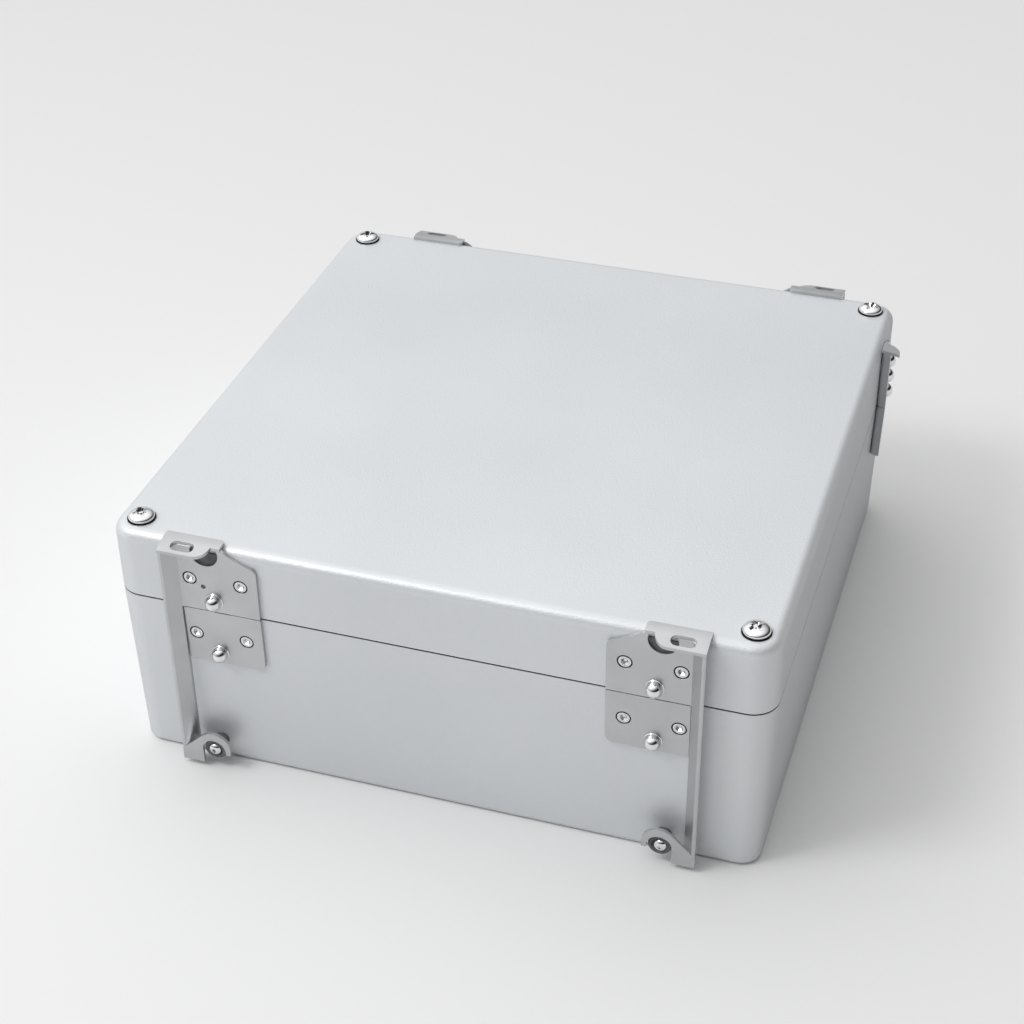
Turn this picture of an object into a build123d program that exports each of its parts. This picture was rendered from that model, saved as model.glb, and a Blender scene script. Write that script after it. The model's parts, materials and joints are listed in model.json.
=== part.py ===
from build123d import *
from math import radians, tan
import os

# Sheet metal enclosure: a square case with a lift-off lid, held by four corner screws. Five
# clamp straps are fixed to the lid. Four of them reach down to rubber buffers on the base.
# Millimetres, +Z up. The origin is the centre of the face that the case stands on.

# Case
case_width = 300.0
case_depth = 300.0
base_height = 88.3
lid_height = 33.9
seam_gap = 0.8
base_draft = 1.4
wall = 2.0
corner_radius = 12.0
lid_edge_radius = 5.0
base_edge_radius = 3.0
rim_width = 8.0
rim_thickness = 2.0
gasket_setback = 1.0

# Corner screws, M6 pan head, with a tube in the lid and a tapped post in the base
corner_inset = 11.9
corner_shank_radius = 3.0
corner_head_radius = 6.0
corner_head_height = 3.0
corner_head_round = 2.4
corner_hole_radius = 3.3
corner_thread_depth = 20.0
corner_thread_grip = 16.0
corner_tip_chamfer = 0.6
cross_recess_width = 1.5
cross_recess_reach = 3.3
cross_recess_depth = 2.0
cross_recess_angles = (45, 135)
washer_radius = 6.4
washer_thickness = 0.6
post_radius = 6.5
tube_fit = 0.1
thread_fit = 0.05

# Clamp straps and the leaves below them, all from one sheet
sheet = 1.5
bend_inside = 1.0
strap_inset = 34.5
leaf_width = 37.0
leaf_corner_radius = 3.5
leaf_split = 0.4
leaf_drop = 29.0
shoulder_rise = 27.6
shoulder_lift = 2.4
neck_width = 21.0
neck_reach = 7.0
strap_proud = 7.6
flange_splay = 40.0
foot_lift = 2.6
flange_start = 0.2
running_gap = 0.4
hook_over = 4.7
hook_lip_radius = 1.6
hook_slope = 16.0
hook_setback = 4.4
hook_corner_radius = 6.8
hook_slot_length = 11.0
hook_slot_width = 5.0
hook_slot_inset = 1.0
hook_slot_end = 5.0
eye_radius = 6.6
eye_inset = 13.0
eye_drop = 3.0
pilot_radius = 1.2
pilot_in = 11.1
pilot_rise = 13.2
rear_left_shift = 8.0

# The side strap is a shorter one: its top ends in a small tab below the lid's edge
side_strap_inset = 47.0
side_leaf_width = 22.5
side_screw_near = 4.8
side_screw_far = 18.2
side_screw_rises = (19.5, 7.5)
side_stud_in = 7.2
side_stud_rises = (23.5, 14.8, 6.1)
side_flange_proud = 4.6
side_flange_splay = 4.0
side_tab_width = 7.0
side_tab_radius = 6.5
side_tab_proud = 8.8
side_tab_drop = 2.6
side_tab_slope = 10.0

# How far a cutter runs past the face that it cuts
overrun = 1.0

# M4 shanks and nuts of the screws, studs and bolts in the walls
shank_radius = 1.95
shank_clearance = 0.25
shank_stick_out = 1.0
nut_across = 7.0
nut_thickness = 3.2
nut_fit = 0.05

# Leaf screws, countersunk
leaf_screw_head_radius = 3.5
leaf_screw_near = 4.8
leaf_screw_far = 29.0
upper_screw_rise = 16.7
lower_screw_drop = 14.0
leaf_screw_socket = 1.5
leaf_screw_socket_depth = 1.0

# Domed studs
stud_radius = 4.2
stud_proud = 5.2
stud_side_height = 1.3
stud_nose_radius = 1.2
stud_in = 15.7
upper_stud_rise = 6.1
lower_stud_drop = 23.3

# Strap foot: a forked ear over a rubber buffer with a domed bolt
buffer_in = 9.8
buffer_height = 11.0
buffer_radius = 5.3
buffer_setback = 1.0
buffer_head_length = 4.0
buffer_neck_radius = 3.4
fork_gap = 0.4
ear_top_rise = 9.6
ear_left_wall = 2.4
ear_shoulder_rise = 7.4
ear_crown_in = 1.4
ear_heel = 5.9
ear_leg_drop = 1.5
ear_rim_depth = 3.6
foot_bolt_head_radius = 3.8
foot_bolt_head_height = 1.8
foot_bolt_rim = 0.5
foot_bolt_nose_radius = 0.8
buffer_edge_radius = 0.8

# Inside: bosses for an equipment plate, and the earth stud
boss_radius = 6.0
boss_height = 8.0
boss_inset = 45.0
boss_thread_radius = 2.5
boss_thread_depth = 6.5
earth_radius = 3.0
earth_length = 10.6
earth_foot_radius = 4.0
earth_foot_above_nut = 0.3
earth_inset = 26.0
earth_tip_chamfer = 0.6
earth_nut_across = 13.0
earth_nut_thickness = 5.0

# Worked out from the sizes above
lid_bottom = base_height + seam_gap
case_top = lid_bottom + lid_height
split_height = base_height + seam_gap / 2
leaf_bottom = split_height - leaf_drop
nut_stack = wall + nut_thickness + shank_stick_out
buffer_length = strap_proud - buffer_setback + (split_height - buffer_height) * tan(radians(base_draft))
shoulder_height = split_height + shoulder_rise
shoulder_slope = shoulder_lift / (leaf_width - leaf_corner_radius - neck_width - neck_reach)
flange_tip = strap_proud * tan(radians(flange_splay))
side_tip = side_flange_proud * tan(radians(side_flange_splay))
reach = case_width + case_depth


def upright_cylinder(radius, bottom, top, x=0, y=0):
    """A cylinder along Z between two heights."""
    return Pos(x, y, (bottom + top) / 2) * Cylinder(radius, top - bottom)


def outward_cylinder(radius, start, end, x, z):
    """A cylinder along the way out of the front face, between two distances from it."""
    return Pos(x, -(start + end) / 2, z) * Rot(90, 0, 0) * Cylinder(radius, end - start)


def block(x_low, x_high, y_low, y_high, z_low, z_high):
    """A box given by its limits."""
    centre = Pos((x_low + x_high) / 2, (y_low + y_high) / 2, (z_low + z_high) / 2)
    return centre * Box(x_high - x_low, y_high - y_low, z_high - z_low)


def rounded_prism(inset, bottom, top):
    """The plan of the case, taken in by an inset, between two heights."""
    plan = RectangleRounded(case_width - 2 * inset, case_depth - 2 * inset, corner_radius - inset)
    return Pos(0, 0, bottom) * extrude(plan, top - bottom)


def drafted_prism(inset, bottom, top):
    """The same for the base, whose walls draw in from the seam down to the floor."""
    shrink = inset + (split_height - top) * tan(radians(base_draft))
    plan = RectangleRounded(
        case_width - 2 * shrink, case_depth - 2 * shrink, corner_radius - shrink
    )
    tapered = extrude(plan, top - bottom, taper=base_draft)
    return Pos(0, 0, top) * Rot(180, 0, 0) * tapered


def square_points(inset):
    """Four points, each at one distance in from two sides of the case."""
    x = case_width / 2 - inset
    y = case_depth / 2 - inset
    return [(-x, -y), (x, -y), (-x, y), (x, y)]


def corner_points():
    """The centres of the four corner screws."""
    return square_points(corner_inset)


def top_edges(shape):
    """The edges around a shape's flat top."""
    return shape.edges().group_by(Axis.Z)[-1]


def bottom_edges(shape):
    """The edges around a shape's flat underside."""
    return shape.edges().group_by(Axis.Z)[0]


def hexagon(across, thickness, bore):
    """A hexagon nut lying on Z = 0, given by its size across the flats."""
    flats = extrude(RegularPolygon(across / 2, 6, major_radius=False), thickness)
    return flats - upright_cylinder(bore, -overrun, thickness + overrun)


def lean(shape):
    """Tilts what is set square on the wall about the seam, onto the base's drafted wall."""
    return Pos(0, 0, split_height) * Rot(base_draft, 0, 0) * Pos(0, 0, -split_height) * shape


# Places on the straps. Each is (distance in from the bend, height), in the strap's own frame:
# X runs from the leaf towards the flange, with 0 at the bend, and -Y points out of the wall.
def upper_screw_places(is_side):
    if is_side:
        return [(-side_screw_far, split_height + rise) for rise in side_screw_rises]
    height = split_height + upper_screw_rise
    return [(-leaf_screw_near, height), (-leaf_screw_far, height)]


def lower_screw_places(is_side):
    height = split_height - lower_screw_drop
    if is_side:
        return [(-side_screw_near, height), (-side_screw_far, height)]
    return [(-leaf_screw_near, height), (-leaf_screw_far, height)]


def upper_stud_places(is_side):
    if is_side:
        return [(-side_stud_in, split_height + rise) for rise in side_stud_rises]
    return [(-stud_in, split_height + upper_stud_rise)]


def lower_stud_places(is_side):
    return [] if is_side else [(-stud_in, split_height - lower_stud_drop)]


def foot_places(is_side):
    return [] if is_side else [(-buffer_in, buffer_height)]


# Straps by name: which way each one faces and where its bend lies
def place_front_right(shape):
    return Pos(case_width / 2 - strap_inset, -case_depth / 2, 0) * shape


def place_front_left(shape):
    return mirror(place_front_right(shape), Plane.YZ)


def place_rear_right(shape):
    return mirror(place_front_right(shape), Plane.XZ)


def place_rear_left(shape):
    return Pos(rear_left_shift, 0, 0) * mirror(place_rear_right(shape), Plane.YZ)


def place_side(shape):
    turned = Rot(0, 0, 90) * mirror(shape, Plane.YZ)
    return Pos(case_width / 2, case_depth / 2 - side_strap_inset, 0) * turned


places = {
    "front_left": place_front_left,
    "front_right": place_front_right,
    "rear_left": place_rear_left,
    "rear_right": place_rear_right,
    "side": place_side,
}


def on_lid(make, spots):
    """One shape from make(x, z) for each spot on each strap, set in its place."""
    return [place(make(x, z)) for name, place in places.items() for x, z in spots(name == "side")]


def on_base(make, spots):
    """The same on the base, leaning with its walls."""
    return on_lid(lambda x, z: lean(make(x, z)), spots)


def folded(points, bottom, top):
    """A folded sheet between two heights, from the centre line of its section."""
    line = FilletPolyline(*points, radius=bend_inside + sheet / 2)
    return Pos(0, 0, bottom) * extrude(trace(line, sheet), top - bottom)


def leaf_sheet(is_side, bottom, top):
    """The leaf with its flange: flat on the wall, then bent outwards."""
    width = side_leaf_width if is_side else leaf_width
    proud = side_flange_proud if is_side else strap_proud
    splay = side_flange_splay if is_side else flange_splay
    middle = sheet / 2
    points = [
        (-width, -middle),
        (0, -middle),
        ((proud - middle) * tan(radians(splay)), -proud),
    ]
    return folded(points, bottom, top)


def lower_outline(is_side):
    """The front view that a lower leaf is cut to, with its free corner rounded."""
    width = side_leaf_width if is_side else leaf_width
    top = split_height - leaf_split / 2
    middle = Pos((reach - width) / 2, (leaf_bottom + top) / 2)
    face = Plane.XZ * middle * Rectangle(reach + width, top - leaf_bottom)
    corner = face.vertices().filter_by(lambda v: v.X < 0).sort_by(Axis.Z)[0]
    return extrude(fillet(corner, leaf_corner_radius), reach, both=True)


def strap_outline(is_side):
    """The same for a strap: its leaf's shoulder climbs to the neck in an S."""
    left = -(side_leaf_width if is_side else leaf_width)
    neck = -(side_tab_width if is_side else neck_width)
    low = split_height + leaf_split / 2
    foot = low if is_side else foot_lift
    corner_start = (left, shoulder_height - leaf_corner_radius)
    corner_end = (left + leaf_corner_radius, shoulder_height)
    shoulder_end = (neck - neck_reach, shoulder_height + shoulder_lift)
    neck_top = (neck, case_top)
    outline = [
        Polyline((flange_start, foot), (reach, foot), (reach, reach), (neck, reach), neck_top),
        Spline(neck_top, shoulder_end, tangents=((-1, -shoulder_slope), (-1, -shoulder_slope))),
        Line(shoulder_end, corner_end),
        RadiusArc(corner_end, corner_start, -leaf_corner_radius),
        Line(corner_start, (left, low)),
        Line((left, low), (flange_start, low)),
    ]
    if foot < low:
        outline.append(Line((flange_start, low), (flange_start, foot)))
    return extrude(Plane.XZ * make_face(outline), reach, both=True)


def shank_hole(x, z):
    """A round hole through a leaf and the wall behind it."""
    return outward_cylinder(shank_radius + shank_clearance, -wall * 2, sheet * 2, x, z)


def screw_hole(x, z):
    """The same, countersunk in the leaf."""
    cone = Cone(shank_radius, leaf_screw_head_radius, sheet)
    return Pos(x, -sheet / 2, z) * Rot(90, 0, 0) * cone + shank_hole(x, z)


def sloped_plate(top, slope):
    """A sheet that falls from a height at the wall outwards, wider than any strap."""
    fall = reach * tan(radians(slope))
    outline = Polyline(
        (0, top), (0, top - sheet), (-reach, top - sheet - fall), (-reach, top - fall), close=True
    )
    return extrude(Plane.YZ * make_face(outline), reach, both=True)


def free_corner(plan):
    """The outer one of a plan's two corners on the leaf's side."""
    return plan.vertices().sort_by(Axis.X)[0:2].sort_by(Axis.Y)[0]


def hook():
    """The hook: a flat lip over the lid's edge and a slotted web that slopes out from it."""
    lip_depth = hook_over + sheet
    lip_plan = Pos((flange_tip - neck_width) / 2, hook_over - lip_depth / 2) * Rectangle(
        neck_width + flange_tip, lip_depth
    )
    inner = lip_plan.vertices().sort_by(Axis.X)[0:2].sort_by(Axis.Y)[1]
    lip = Pos(0, 0, case_top) * extrude(fillet(inner, hook_lip_radius), sheet)
    lip &= block(-reach, reach, 0, reach, 0, reach)
    length = neck_width - hook_setback + flange_tip
    plan = Pos(flange_tip - length / 2, -strap_proud / 2) * Rectangle(length, strap_proud)
    plan = fillet(free_corner(plan), hook_corner_radius)
    plan += Pos(-neck_width / 2, -sheet / 2) * Rectangle(neck_width, sheet)
    slot_x = flange_tip - hook_slot_end - hook_slot_length / 2
    slot = Pos(slot_x, -hook_slot_inset - hook_slot_width / 2) * SlotOverall(
        hook_slot_length, hook_slot_width
    )
    web = sloped_plate(case_top + sheet, hook_slope) & extrude(plan - slot, reach)
    return lip + web


def side_tab():
    """The side strap's tab: it slopes out over the studs, with a round free corner."""
    length = side_tab_width + side_tip
    plan = Pos(side_tip - length / 2, -side_tab_proud / 2) * Rectangle(length, side_tab_proud)
    plan = fillet(free_corner(plan), side_tab_radius)
    top = case_top + sheet - side_tab_drop
    return sloped_plate(top, side_tab_slope) & extrude(plan, reach)


def above_top(is_side):
    """All that lies higher than the lower face of a strap's hook or tab."""
    drop = side_tab_drop if is_side else 0
    slope = side_tab_slope if is_side else hook_slope
    low = case_top - drop
    outline = Polyline(
        (0, low), (-reach, low - reach * tan(radians(slope))), (-reach, reach), (0, reach), close=True
    )
    return extrude(Plane.YZ * make_face(outline), reach, both=True)


def strap_ear():
    """The strap's foot: an ear in the plane of the flange's tip, forked over its buffer, with
    a rim along its top that is bent back towards the wall."""
    inner = buffer_radius + fork_gap
    fork_left = -buffer_in - inner
    fork_right = -buffer_in + inner
    left = fork_left - ear_left_wall
    leg_end = buffer_height - ear_leg_drop
    shoulder = (fork_right, buffer_height + ear_shoulder_rise)
    crown = (-buffer_in - ear_crown_in, buffer_height + ear_top_rise)
    fork_crown = (-buffer_in, buffer_height + inner)
    outline = [
        Line((left, leg_end), (left, buffer_height)),
        ThreePointArc((left, buffer_height), crown, shoulder),
        Line(shoulder, (flange_tip, foot_lift + ear_heel)),
        Line((flange_tip, foot_lift + ear_heel), (flange_tip, foot_lift)),
        Line((flange_tip, foot_lift), (fork_right, foot_lift)),
        Line((fork_right, foot_lift), (fork_right, buffer_height)),
        ThreePointArc((fork_right, buffer_height), fork_crown, (fork_left, buffer_height)),
        Line((fork_left, buffer_height), (fork_left, leg_end)),
        Line((fork_left, leg_end), (left, leg_end)),
    ]
    face = Plane.XZ * make_face(outline)
    rim = face & Plane.XZ * trace(outline[1] + outline[2], 2 * sheet)
    front = Pos(0, -strap_proud, 0)
    return front * (extrude(face, -sheet) + extrude(rim, -ear_rim_depth))


def make_strap(is_side, with_pilot=False):
    """Clamp strap: upper leaf, neck and hook, flange, and a forked foot on the long ones."""
    body = leaf_sheet(is_side, 0, case_top + sheet) & strap_outline(is_side)
    body &= block(-leaf_width, reach, -strap_proud, 0, 0, reach)
    body -= above_top(is_side)
    if is_side:
        body += side_tab()
    else:
        body -= outward_cylinder(eye_radius, -sheet, sheet * 2, -eye_inset, case_top - eye_drop)
        body += hook()
        body += strap_ear()
    for x, z in upper_screw_places(is_side):
        body -= screw_hole(x, z)
    for x, z in upper_stud_places(is_side):
        body -= shank_hole(x, z)
    if with_pilot:
        height = split_height + pilot_rise
        body -= outward_cylinder(pilot_radius, -sheet, sheet * 2, -pilot_in, height)
    return body


def make_lower_leaf(is_side):
    """Leaf on the base under a strap's leaf. The side one has its own stretch of flange."""
    top = split_height - leaf_split / 2
    if is_side:
        body = leaf_sheet(is_side, leaf_bottom, top)
    else:
        body = block(-leaf_width, flange_start - running_gap, -sheet, 0, leaf_bottom, top)
    body &= lower_outline(is_side)
    for x, z in lower_screw_places(is_side):
        body -= screw_hole(x, z)
    for x, z in lower_stud_places(is_side):
        body -= shank_hole(x, z)
    return lean(body)


def make_leaf_screw(x, z):
    """Countersunk screw with a hexagon socket, its head flush with the leaf."""
    head = Cone(shank_radius, leaf_screw_head_radius, sheet)
    screw = Pos(x, -sheet / 2, z) * Rot(90, 0, 0) * head
    screw += outward_cylinder(shank_radius, -nut_stack, 0, x, z)
    socket = extrude(RegularPolygon(leaf_screw_socket, 6), leaf_screw_socket_depth)
    screw -= Pos(x, -sheet, z) * Rot(-90, 0, 0) * socket
    return screw


def make_stud(x, z):
    """Domed stud with its shank through the leaf and the wall."""
    profile = [
        Line((0, 0), (stud_radius, 0)),
        Line((stud_radius, 0), (stud_radius, stud_side_height)),
        RadiusArc((stud_radius, stud_side_height), (stud_nose_radius, stud_proud), -stud_radius),
        Line((stud_nose_radius, stud_proud), (0, stud_proud)),
        Line((0, stud_proud), (0, 0)),
    ]
    head = revolve(Plane.XZ * make_face(profile), Axis.Z)
    stud = Pos(x, -sheet, z) * Rot(90, 0, 0) * head
    return stud + outward_cylinder(shank_radius, -nut_stack, sheet, x, z)


def make_foot_buffer(x, z):
    """Rubber buffer on a thinner neck; the strap's fork straddles it."""
    head = outward_cylinder(buffer_radius, buffer_length - buffer_head_length, buffer_length, x, z)
    front = head.faces().sort_by(Axis.Y)[0]
    body = fillet(front.edges(), buffer_edge_radius)
    body += outward_cylinder(buffer_neck_radius, 0, buffer_length, x, z)
    return body - outward_cylinder(shank_radius + nut_fit, -overrun, buffer_length + overrun, x, z)


def make_foot_bolt(x, z):
    """Domed bolt through the buffer and the wall."""
    rim = (foot_bolt_head_radius, foot_bolt_rim)
    nose = (foot_bolt_nose_radius, foot_bolt_head_height)
    profile = [
        Line((0, 0), (foot_bolt_head_radius, 0)),
        Line((foot_bolt_head_radius, 0), rim),
        RadiusArc(rim, nose, -foot_bolt_head_radius),
        Line(nose, (0, foot_bolt_head_height)),
        Line((0, foot_bolt_head_height), (0, 0)),
    ]
    head = revolve(Plane.XZ * make_face(profile), Axis.Z)
    bolt = Pos(x, -buffer_length, z) * Rot(90, 0, 0) * head
    return bolt + outward_cylinder(shank_radius, -nut_stack, buffer_length, x, z)


def make_base():
    """Base: deep tray with an inward rim, drilled for the leaves and the feet."""
    outer = drafted_prism(0, 0, base_height)
    outer = fillet(bottom_edges(outer), base_edge_radius)
    base = outer - drafted_prism(wall, wall, base_height - rim_thickness)
    base -= rounded_prism(rim_width, wall, base_height + overrun)
    for x, y in corner_points():
        base -= upright_cylinder(post_radius + tube_fit, wall, base_height + overrun, x, y)
    for spots in (lower_screw_places, lower_stud_places, foot_places):
        base -= on_base(shank_hole, spots)
    return base


def make_lid():
    """Lid: shallow tray with a rounded top edge and an inward rim."""
    outer = rounded_prism(0, lid_bottom, case_top)
    inner = rounded_prism(wall, lid_bottom + rim_thickness, case_top - wall)
    lid = fillet(top_edges(outer), lid_edge_radius)
    lid -= fillet(top_edges(inner), lid_edge_radius - wall)
    lid -= rounded_prism(rim_width, lid_bottom - overrun, case_top - wall)
    for x, y in corner_points():
        lid -= upright_cylinder(post_radius + tube_fit, lid_bottom - overrun, case_top - wall, x, y)
        lid -= upright_cylinder(corner_hole_radius, lid_bottom, case_top + overrun, x, y)
    for spots in (upper_screw_places, upper_stud_places):
        lid -= on_lid(shank_hole, spots)
    return lid


def make_gasket():
    """Flat gasket between the two rims."""
    ring = rounded_prism(gasket_setback, base_height, lid_bottom)
    inner = rim_width - gasket_setback
    return ring - rounded_prism(inner, base_height - overrun, lid_bottom + overrun)


def make_corner_screw(x, y):
    """Pan head screw with a cross recess, on its washer."""
    seat = case_top + washer_thickness
    tip = base_height - corner_thread_grip
    head_top = seat + corner_head_height
    head = upright_cylinder(corner_head_radius, seat, head_top, x, y)
    shank = upright_cylinder(corner_shank_radius, tip, seat, x, y)
    screw = fillet(top_edges(head), corner_head_round)
    screw += chamfer(bottom_edges(shank), corner_tip_chamfer)
    arm = Box(2 * cross_recess_reach, cross_recess_width, 2 * cross_recess_depth)
    for angle in cross_recess_angles:
        screw -= Pos(x, y, head_top) * Rot(0, 0, angle) * arm
    return screw


def make_washer(x, y):
    """Sealing washer under a corner screw's head."""
    seat = case_top + washer_thickness
    ring = upright_cylinder(washer_radius, case_top, seat, x, y)
    bore = corner_shank_radius + tube_fit
    return ring - upright_cylinder(bore, case_top - overrun, seat + overrun, x, y)


def make_lid_tube(x, y):
    """Tube that carries a corner screw through the lid."""
    tube = upright_cylinder(post_radius, lid_bottom, case_top - wall, x, y)
    return tube - upright_cylinder(corner_hole_radius, lid_bottom - overrun, case_top, x, y)


def make_post(x, y):
    """Tapped post in a corner of the base."""
    post = upright_cylinder(post_radius, wall, base_height, x, y)
    bottom = base_height - corner_thread_depth
    bore = corner_shank_radius + thread_fit
    return post - upright_cylinder(bore, bottom, base_height + overrun, x, y)


def make_boss(x, y):
    """Tapped boss on the floor of the base, for an equipment plate."""
    top = wall + boss_height
    boss = upright_cylinder(boss_radius, wall, top, x, y)
    return boss - upright_cylinder(boss_thread_radius, top - boss_thread_depth, top + overrun, x, y)


def make_earth_stud():
    """Stepped stud welded to the floor by the left wall, threaded for its nut and a terminal."""
    x = earth_inset - case_width / 2
    step = wall + earth_nut_thickness + earth_foot_above_nut
    stud = upright_cylinder(earth_radius, wall, step + earth_length, x, 0)
    stud = chamfer(top_edges(stud), earth_tip_chamfer)
    return stud + upright_cylinder(earth_foot_radius, wall, step, x, 0)


def make_earth_nut():
    """Nut screwed down the earth stud to the floor."""
    flats = hexagon(earth_nut_across, earth_nut_thickness, earth_foot_radius + nut_fit)
    return Pos(earth_inset - case_width / 2, 0, wall) * flats


def make_nut(x, z):
    """Nut of a screw, stud or bolt, on the inner face of the wall."""
    nut = hexagon(nut_across, nut_thickness, shank_radius + nut_fit)
    return Pos(x, wall, z) * Rot(-90, 0, 0) * nut


def build_nodes():
    """Every sub-part by its node's name."""
    nodes = {
        "base_tray": make_base(),
        "lid": make_lid(),
        "lid_gasket": make_gasket(),
        "corner_screws": [make_corner_screw(x, y) for x, y in corner_points()],
        "corner_washers": [make_washer(x, y) for x, y in corner_points()],
        "lid_tubes": [make_lid_tube(x, y) for x, y in corner_points()],
        "corner_posts": [make_post(x, y) for x, y in corner_points()],
        "plate_bosses": [make_boss(x, y) for x, y in square_points(boss_inset)],
        "earth_stud": make_earth_stud(),
        "earth_nut": make_earth_nut(),
    }
    for name, place in places.items():
        is_side = name == "side"
        nodes[name + "_strap"] = place(make_strap(is_side, with_pilot=name == "front_left"))
        nodes[name + "_lower_leaf"] = place(make_lower_leaf(is_side))
    nodes["strap_screws"] = on_lid(make_leaf_screw, upper_screw_places)
    nodes["strap_screw_nuts"] = on_lid(make_nut, upper_screw_places)
    nodes["strap_studs"] = on_lid(make_stud, upper_stud_places)
    nodes["strap_stud_nuts"] = on_lid(make_nut, upper_stud_places)
    nodes["lower_leaf_screws"] = on_base(make_leaf_screw, lower_screw_places)
    nodes["lower_leaf_nuts"] = on_base(make_nut, lower_screw_places)
    nodes["lower_leaf_studs"] = on_base(make_stud, lower_stud_places)
    nodes["lower_stud_nuts"] = on_base(make_nut, lower_stud_places)
    nodes["foot_buffers"] = on_base(make_foot_buffer, foot_places)
    nodes["foot_bolts"] = on_base(make_foot_bolt, foot_places)
    nodes["foot_nuts"] = on_base(make_nut, foot_places)
    return nodes


def main():
    os.makedirs("parts", exist_ok=True)
    for name, shape in build_nodes().items():
        if isinstance(shape, list):
            shape = Compound([solid for piece in shape for solid in piece.solids()])
        export_step(shape, f"parts/{name}.step")


main()
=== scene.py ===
import json
import math

import bmesh
import bpy
from mathutils import Matrix, Vector


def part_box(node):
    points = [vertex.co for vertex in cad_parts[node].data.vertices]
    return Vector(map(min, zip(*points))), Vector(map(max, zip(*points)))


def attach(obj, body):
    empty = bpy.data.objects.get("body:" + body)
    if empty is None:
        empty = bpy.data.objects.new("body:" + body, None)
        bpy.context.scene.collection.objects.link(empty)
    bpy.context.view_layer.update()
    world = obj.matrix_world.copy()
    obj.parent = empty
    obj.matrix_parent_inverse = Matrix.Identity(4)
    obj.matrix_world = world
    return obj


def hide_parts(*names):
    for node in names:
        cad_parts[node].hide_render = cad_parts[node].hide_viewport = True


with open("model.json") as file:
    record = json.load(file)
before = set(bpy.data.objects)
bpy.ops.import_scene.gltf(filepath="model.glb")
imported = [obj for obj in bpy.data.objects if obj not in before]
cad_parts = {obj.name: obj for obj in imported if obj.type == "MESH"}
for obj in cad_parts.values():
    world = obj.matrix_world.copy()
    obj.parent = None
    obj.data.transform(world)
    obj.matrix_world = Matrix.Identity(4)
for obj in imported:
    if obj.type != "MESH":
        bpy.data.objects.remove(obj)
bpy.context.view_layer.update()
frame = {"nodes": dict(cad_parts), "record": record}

MM = 0.001

# Camera, solved from the photograph: metres, degrees, and millimetres for its lens
CAMERA_PLACE = (0.244534, -0.778582, 0.635002)
CAMERA_AZIMUTH = 18.198
CAMERA_ELEVATION = 35.095
CAMERA_ROLL = -0.71
CAMERA_LENS = 70.86
CAMERA_SENSOR = 36.0
CAMERA_REACH = 30.0

# Sky: it brightens between the two cosines in SKY_FADE, of a ray's angle to SKY_TOWARDS
SKY_COLOUR = (1, 1, 1)
SKY_BRIGHT = 1.3
SKY_DARK = 0.02
SKY_TOWARDS = (-0.42, 0.1, 0.9)
SKY_FADE = (0.15, 0.95)

# Paper round the case; in metal it gives way to the sky between the two sines of a ray's rise
PAPER_COLOUR = (0.82, 0.82, 0.82)
PAPER_FADE = (0.03, 0.3)

# Floor, and the softbox that gives the shadow its edge
FLOOR_SIZE = 14.0
FLOOR_COLOUR = (0.84, 0.84, 0.84)
KEY_PLACE = (-0.95, -0.8, 1.55)
KEY_TARGET = (0, 0, 0.05)
KEY_SIZE = 0.6
KEY_POWER = 10.0

# The middle range of a noise texture, where most of its values lie
NOISE_LOW = 0.3
NOISE_HIGH = 0.7

# Sheet edges and meshes
MERGE_GAP = 0.01 * MM
EDGE_SOFTNESS = 0.22 * MM
EDGE_STEPS = 2
FLAT_ANGLE = math.radians(1)
SHARP_ANGLE = math.radians(35)

# The lean of the base's walls, and how far below a fastener's tip its end face may reach
BASE_LEAN = math.radians(1.4)
TIP_REACH = 0.05 * MM

# Painted shade: dark pads behind the eyes of the long straps, which stand in for the shade in those hollows
LONG_STRAPS = ("front_left_strap", "front_right_strap", "rear_left_strap", "rear_right_strap")
SHADE_PAD_RADIUS = 6.5 * MM
SHADE_PAD_FROM_TIP = 19.38 * MM
SHADE_PAD_DROP = 3 * MM
SHADE_PAD_PROUD = 0.3 * MM
SHADE_PAD_DEPTH = 1.9 * MM
SHADE_PAD_STEPS = 24

# Seam gasket
GASKET_SETBACK = 0.06 * MM
GASKET_BREADTH = 6.6 * MM
GASKET_ROUNDING = 0.3 * MM
GASKET_ROUNDING_STEPS = 4
CASE_CORNER = 12 * MM
CASE_CORNER_STEPS = 12

# Corners of the cutters and of the thread's ridge
TRIANGLE = 3
SQUARE = 4
HEXAGON = 6

# Corner screws, with the core of their cross recess and their thread
PAN_SCREW = {
    "Head radius": 6 * MM,
    "Head height": 3 * MM,
    "Recess reach": 7.6 * MM,
    "Recess width": 1.9 * MM,
    "Recess depth": 3.6 * MM,
    "Shank radius": 2.75 * MM,
    "Shank length": 51.2 * MM,
}
CORE_TOP = 2.9 * MM
CORE_FOOT = 0.6 * MM
CORE_DEPTH = 2.3 * MM
THREAD_TURNS = 22.0
THREAD_LENGTH = 22 * MM
THREAD_RIDGE = 0.32 * MM
THREAD_END = 0.5 * MM
THREAD_STEPS = 20

# Keeps the floors of the recess's two arms apart, so that the cut stays clean
ARM_STEP = 0.06 * MM

# Countersunk screws; their socket's foot and floor are shares of its radius and of the head's height
RING_SCREW = {
    "Head radius": 3.5 * MM,
    "Head height": 1.5 * MM,
    "Socket radius": 2.1 * MM,
    "Shank radius": 1.95 * MM,
    "Shank length": 6.2 * MM,
}
SOCKET_TAPER = 0.35
SOCKET_FLOOR = 0.12

# Domed studs of the straps and leaves
DOMED_STUD = {
    "Head radius": 4.2 * MM,
    "Head height": 5.2 * MM,
    "Shank radius": 1.95 * MM,
    "Shank length": 7.7 * MM,
}

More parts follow.
